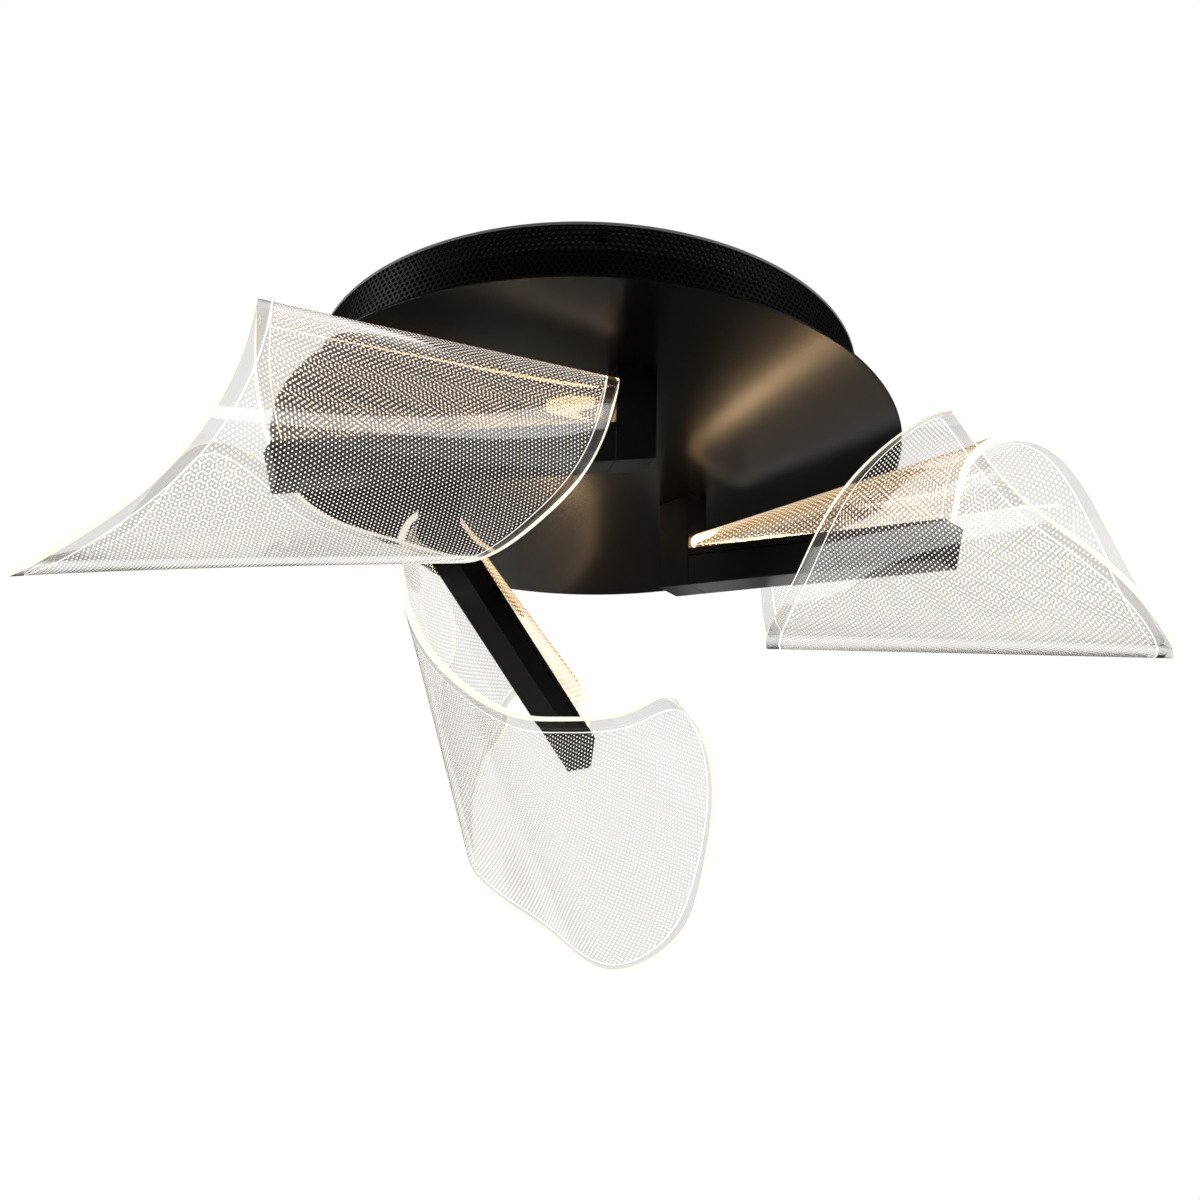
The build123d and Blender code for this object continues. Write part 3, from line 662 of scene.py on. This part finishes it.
def wrapped_holes():
    """Geometry tree: lay a brick in staggered rows and wrap the sheet round the canopy."""
    tree = bpy.data.node_groups.new("WrappedHoles", "GeometryNodeTree")
    tree.interface.new_socket("Geometry", in_out="OUTPUT", socket_type="NodeSocketGeometry")
    tree.interface.new_socket("Geometry", in_out="INPUT", socket_type="NodeSocketGeometry")
    tree.interface.new_socket("Brick", in_out="INPUT", socket_type="NodeSocketObject")
    tree.interface.new_socket("Finish", in_out="INPUT", socket_type="NodeSocketMaterial")
    tree_input(tree, "Holes", "NodeSocketInt", 1)
    tree_input(tree, "Rows", "NodeSocketInt", 1)
    tree_input(tree, "Pitch", "NodeSocketFloat", 0.004)
    tree_input(tree, "Row Spacing", "NodeSocketFloat", 0.0035)
    tree_input(tree, "Top", "NodeSocketFloat", -0.002)
    tree_input(tree, "Radius", "NodeSocketFloat", 0.17)
    entry = tree.nodes.new("NodeGroupInput").outputs
    leave = tree.nodes.new("NodeGroupOutput").inputs
    index = tree.nodes.new("GeometryNodeInputIndex").outputs[0]
    middle = math_node(tree, "ADD", index, 0.5)
    row = math_node(tree, "FLOOR", math_node(tree, "DIVIDE", middle, entry["Holes"]))
    column = math_node(tree, "SUBTRACT", index, math_node(tree, "MULTIPLY", row, entry["Holes"]))
    stagger = math_node(tree, "MULTIPLY", math_node(tree, "MODULO", row, 2), 0.5)
    along = math_node(tree, "ADD", column, stagger)
    drop = math_node(tree, "MULTIPLY", math_node(tree, "ADD", row, 0.5), entry["Row Spacing"])
    place = tree.nodes.new("ShaderNodeCombineXYZ")
    tree.links.new(math_node(tree, "MULTIPLY", along, entry["Pitch"]), place.inputs["X"])
    tree.links.new(math_node(tree, "SUBTRACT", entry["Top"], drop), place.inputs["Z"])
    points = tree.nodes.new("GeometryNodePoints")
    tree.links.new(math_node(tree, "MULTIPLY", entry["Holes"], entry["Rows"]), points.inputs["Count"])
    tree.links.new(place.outputs[0], points.inputs["Position"])
    brick = tree.nodes.new("GeometryNodeObjectInfo")
    tree.links.new(entry["Brick"], brick.inputs["Object"])
    copies = tree.nodes.new("GeometryNodeInstanceOnPoints")
    tree.links.new(points.outputs[0], copies.inputs["Points"])
    tree.links.new(brick.outputs["Geometry"], copies.inputs["Instance"])
    real = tree.nodes.new("GeometryNodeRealizeInstances")
    tree.links.new(copies.outputs[0], real.inputs[0])
    flat = tree.nodes.new("GeometryNodeInputPosition")
    split = tree.nodes.new("ShaderNodeSeparateXYZ")
    tree.links.new(flat.outputs[0], split.inputs[0])
    angle = math_node(tree, "DIVIDE", split.outputs["X"], entry["Radius"])
    reach = math_node(tree, "ADD", split.outputs["Y"], entry["Radius"])
    bent = tree.nodes.new("ShaderNodeCombineXYZ")
    for axis, operation in (("X", "COSINE"), ("Y", "SINE")):
        spot = math_node(tree, "MULTIPLY", reach, math_node(tree, operation, angle))
        tree.links.new(spot, bent.inputs[axis])
    tree.links.new(split.outputs["Z"], bent.inputs["Z"])
    wrap = tree.nodes.new("GeometryNodeSetPosition")
    tree.links.new(real.outputs[0], wrap.inputs["Geometry"])
    tree.links.new(bent.outputs[0], wrap.inputs["Position"])
    weld = tree.nodes.new("GeometryNodeMergeByDistance")
    weld.inputs["Distance"].default_value = WELD_DISTANCE
    tree.links.new(wrap.outputs[0], weld.inputs["Geometry"])
    finish = tree.nodes.new("GeometryNodeSetMaterial")
    tree.links.new(weld.outputs[0], finish.inputs["Geometry"])
    tree.links.new(entry["Finish"], finish.inputs["Material"])
    tree.links.new(finish.outputs[0], leave[0])
    return tree


def evaluated(name, tree, values):
    """Plain mesh made by a geometry tree from named input values."""
    carrier = link(bpy.data.objects.new(name + "_carrier", bpy.data.meshes.new(name + "_carrier")))
    modifier = carrier.modifiers.new("Nodes", "NODES")
    modifier.node_group = tree
    for socket in tree.interface.items_tree:
        if socket.item_type == "SOCKET" and socket.in_out == "INPUT" and socket.name in values:
            modifier[socket.identifier] = values[socket.name]
    made = carrier.evaluated_get(bpy.context.evaluated_depsgraph_get())
    mesh = bpy.data.meshes.new_from_object(made)
    carrier.modifiers.clear()
    bpy.data.objects.remove(carrier)
    mesh.name = name
    return mesh


def plain_strip(low, high, border):
    """Unpunched strip at a border of the band, with the same corners as the punched sheet."""
    count = HOLES_PER_ROW * CORNERS_PER_CELL
    radius, wall = BAND_RADIUS * MM, BAND_WALL * MM
    verts, faces = [], []
    for z in (low, high):
        for reach in (radius, radius - wall):
            for index in range(count):
                angle = 2 * pi * index / count
                verts.append((reach * cos(angle), reach * sin(angle), z))
    for index in range(count):
        following = (index + 1) % count
        a, b, c, d = (index + count * ring for ring in range(4))
        e, f, g, h = (following + count * ring for ring in range(4))
        faces += [(a, e, g, c), (f, b, d, h)]
        faces.append((b, f, e, a) if border == "low" else (c, g, h, d))
    return verts, faces


def perforated_band(finish):
    """The punched sheet in two closed rings of rows, each with one plain border."""
    width = 2 * pi * BAND_RADIUS * MM / HOLES_PER_ROW
    spacing = HOLE_ROW_SPACING * MM
    brick = link(bpy.data.objects.new("brick", band_cell("brick", width, spacing)))
    tree = wrapped_holes()
    top = -PLAIN_STRIP * MM
    split = top - UPPER_ROWS * spacing
    bottom = top - HOLE_ROWS * spacing
    rings = (
        (top, UPPER_ROWS, (top, 0.0, "high")),
        (split, HOLE_ROWS - UPPER_ROWS, (-BAND_HEIGHT * MM, bottom, "low")),
    )
    for number, (level, rows, strip) in enumerate(rings, start=1):
        mesh = evaluated(f"PunchedBand{number}", tree, {
            "Brick": brick, "Finish": finish, "Holes": HOLES_PER_ROW, "Rows": rows,
            "Pitch": width, "Row Spacing": spacing, "Top": level, "Radius": BAND_RADIUS * MM,
        })
        form = bmesh.new()
        form.from_mesh(mesh)
        verts, faces = plain_strip(*strip)
        corners = [form.verts.new(spot) for spot in verts]
        for face in faces:
            form.faces.new([corners[corner] for corner in face])
        bmesh.ops.remove_doubles(form, verts=form.verts, dist=WELD_DISTANCE)
        open_edges = [edge for edge in form.edges if len(edge.link_faces) == 1]
        bmesh.ops.bridge_loops(form, edges=open_edges)
        bmesh.ops.recalc_face_normals(form, faces=form.faces)
        form.to_mesh(mesh)
        form.free()
        mesh.polygons.foreach_set("use_smooth", [False] * len(mesh.polygons))
        piece = link(bpy.data.objects.new(f"punched_band_{number}", mesh))
        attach(piece, BODY)
        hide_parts("perforated_band")
    bpy.data.objects.remove(brick)


def softened(name, finish, width):
    """Copy of a plain metal node with its sharp corners broken, for the light they catch."""
    source = nodes[name]
    mesh = source.data.copy()
    mesh.transform(source.matrix_world)
    mesh.name = f"{name}_soft"
    mesh.materials.clear()
    mesh.materials.append(finish)
    form = bmesh.new()
    form.from_mesh(mesh)
    bmesh.ops.remove_doubles(form, verts=form.verts, dist=SAME_POINT)
    bmesh.ops.dissolve_limit(form, angle_limit=FLAT_ANGLE, verts=form.verts, edges=form.edges)
    sharp = [
        edge for edge in form.edges if edge.is_manifold and edge.calc_face_angle() > SHARP_ANGLE
    ]
    bmesh.ops.bevel(
        form, geom=sharp, offset=width * MM, segments=2, profile=0.5, affect="EDGES",
        clamp_overlap=True,
    )
    bmesh.ops.triangulate(form, faces=[face for face in form.faces if len(face.verts) > 4])
    form.to_mesh(mesh)
    form.free()
    piece = link(bpy.data.objects.new(f"{name}_body", mesh))
    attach(piece, BODY)
    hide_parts(name)


def place_camera():
    """Camera below the light and in front of it, looking up."""
    data = bpy.data.cameras.new("Camera")
    data.sensor_width = SENSOR
    data.lens = FOCAL_PIXELS / PHOTO_SIDE * SENSOR
    data.clip_end = CAMERA_CLIP
    camera = link(bpy.data.objects.new("Camera", data))
    back = CAMERA_DISTANCE * cos(CAMERA_ELEVATION)
    down = CAMERA_DISTANCE * sin(CAMERA_ELEVATION)
    camera.location = (0, -back, DISC_LEVEL - down)
    camera.rotation_euler = (
        Matrix.Rotation(CAMERA_YAW, 3, "Z")
        @ Matrix.Rotation(pi / 2 + CAMERA_PITCH, 3, "X")
        @ Matrix.Rotation(CAMERA_ROLL, 3, "Z")
    ).to_euler()
    scene.camera = camera
    scene.view_settings.view_transform = "Standard"


def white_surroundings():
    """Plain white studio, darker in reflections, most of all above."""
    world = bpy.data.worlds.new("Studio")
    scene.world = world
    world.use_nodes = True
    sky = world.node_tree
    direct = sky.nodes["Background"]
    direct.inputs["Color"].default_value = (1, 1, 1, 1)
    direct.inputs["Strength"].default_value = WHITE_LEVEL
    reflected = sky.nodes.new("ShaderNodeBackground")
    direction = sky.nodes.new("ShaderNodeTexCoord")
    parts = sky.nodes.new("ShaderNodeSeparateXYZ")
    sky.links.new(direction.outputs["Generated"], parts.inputs[0])
    fade = ramp(sky, parts.outputs["Z"], FADE_ENDS, (REFLECTED_LOW, REFLECTED_HIGH), "SMOOTHSTEP")
    sky.links.new(fade, reflected.inputs["Strength"])
    ray = sky.nodes.new("ShaderNodeLightPath").outputs
    seen = math_node(sky, "MAXIMUM", ray["Is Camera Ray"], ray["Is Transmission Ray"])
    choice = sky.nodes.new("ShaderNodeMixShader")
    sky.links.new(seen, choice.inputs[0])
    sky.links.new(reflected.outputs[0], choice.inputs[1])
    sky.links.new(direct.outputs[0], choice.inputs[2])
    sky.links.new(choice.outputs[0], sky.nodes["World Output"].inputs["Surface"])


def soft_light(name, way, distance, width, height, power):
    """Rectangular area light that faces the object from a direction."""
    data = bpy.data.lights.new(name, "AREA")
    data.shape = "RECTANGLE"
    data.size = width
    data.size_y = height
    data.energy = power
    lamp = link(bpy.data.objects.new(name, data))
    spot = LIGHT_AIM + Vector(way).normalized() * distance
    lamp.location = spot
    lamp.rotation_euler = (LIGHT_AIM - spot).to_track_quat("-Z", "Y").to_euler()
    lamp.visible_camera = False


def pale_floor():
    """Plain floor, well below the light."""
    square = ((-1, -1), (1, -1), (1, 1), (-1, 1))
    corners = [(x * FLOOR_REACH, y * FLOOR_REACH, FLOOR_LEVEL) for x, y in square]
    mesh = bpy.data.meshes.new("Floor")
    mesh.from_pydata(corners, [], [(0, 1, 2, 3)])
    mesh.materials.append(principled("PaleFloor", FLOOR_COLOR, FLOOR_ROUGHNESS)[0])
    link(bpy.data.objects.new("Floor", mesh))


place_camera()
white_surroundings()
for studio_light in STUDIO_LIGHTS:
    soft_light(*studio_light)
pale_floor()

coat = coat_texture()
black_disc = coated("SatinBlackDisc", coat, (0.007, 0.0065, 0.006), roughness=0.24, bump=0.02)
black_arm = coated("SatinBlackTube", coat, (0.009, 0.009, 0.009), roughness=0.3, bump=0.03)
black_band = coated("SatinBlackBand", coat, (0.012, 0.012, 0.012), roughness=0.35, bump=0.03)
zinc = coated("BrightZinc", coat, (0.55, 0.55, 0.56), roughness=0.35, Metallic=1.0)
steel = coated("PlatedSteel", coat, (0.5, 0.5, 0.51), roughness=0.45, Metallic=1.0)
case = coated("MattPlastic", coat, (0.8, 0.8, 0.78), roughness=0.55, bump=0.1)
terminal = coated("TerminalPlastic", coat, (0.85, 0.85, 0.82), roughness=0.3)
board = coated("BoardMask", coat, (0.85, 0.85, 0.8), roughness=0.4)
phosphor = coated("Phosphor", coat, (1.0, 0.8, 0.4), roughness=0.5)
jacket = coated("LeadJacket", coat, (0.02, 0.02, 0.02), roughness=0.5)
acrylic = acrylic_material(engraved_dots())
acrylic_edge = edge_material()
acrylic_back = clear_material()

finishes = {
    "face_disc": black_disc, "perforated_band": black_band, "angle_ring": steel,
    "ring_rivets": black_disc, "mounting_plate": steel, "weld_nuts": zinc,
    "canopy_screws": black_band, "led_driver": case, "driver_screws": zinc,
    "terminal_block": terminal, "ground_screw": zinc, "stud_washers": zinc, "stud_nuts": zinc,
    "pinch_screws": black_arm, "input_leads": jacket,
}
arm_finishes = {
    "post": black_arm, "post_plug": zinc, "stud": zinc, "bar": black_arm, "retainer": black_arm,
    "end_cap": black_arm, "led_board": board, "leds": phosphor, "petal": acrylic, "lead": jacket,
}
for number, *_ in ARMS:
    finishes |= {f"{name}_{number}": finish for name, finish in arm_finishes.items()}
for name, finish in finishes.items():
    slots = nodes[name].data.materials
    slots.clear()
    slots.append(finish)

for number, azimuth, heading, turn, opening in ARMS:
    petal(number, azimuth, heading, turn, opening, acrylic, acrylic_edge, acrylic_back)
    slot_glow(number, azimuth, heading)
    for name in ("post", "bar", "retainer", "end_cap"):
        softened(f"{name}_{number}", black_arm, ARM_EDGE_BREAK)
softened("face_disc", black_disc, DISC_EDGE_BREAK)
perforated_band(black_band)
